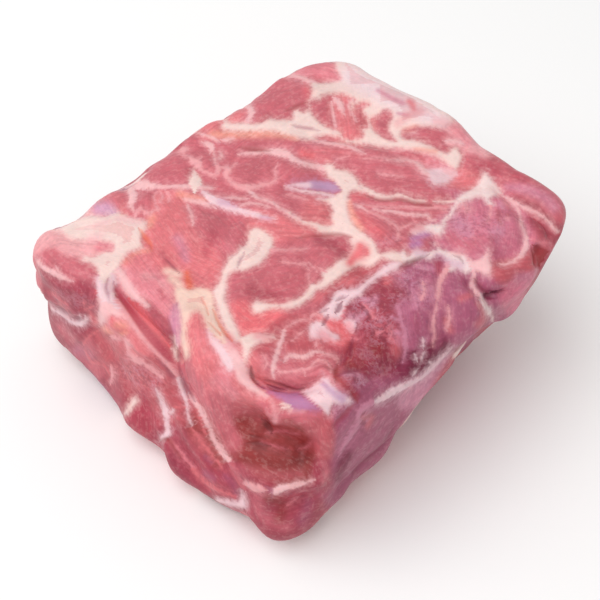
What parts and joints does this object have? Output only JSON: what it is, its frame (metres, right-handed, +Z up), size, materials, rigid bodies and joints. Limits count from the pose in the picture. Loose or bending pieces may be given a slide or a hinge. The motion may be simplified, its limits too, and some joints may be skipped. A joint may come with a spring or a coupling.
{
  "type": "boston butt",
  "caption": "Raw boneless pork shoulder block with a flat cut top, fat seams between its muscles and a leaning right flank; it rests on its flat underside.",
  "frame": {"origin": "under the middle of the block's bounding box, on the surface that it rests on", "axes": "+Z up out of the cut top face, the shortest way through the block; -Y is the folded left face in the picture and +X the undercut right flank"},
  "size_m": [0.2186, 0.2372, 0.1019],
  "materials": {
    "meat": "moist raw pork, pink to dark red muscle with cream fat seams, softly glossy"
  },
  "bodies": {
    "root": {"shoulder_block": "meat"}
  },
  "joints": []
}
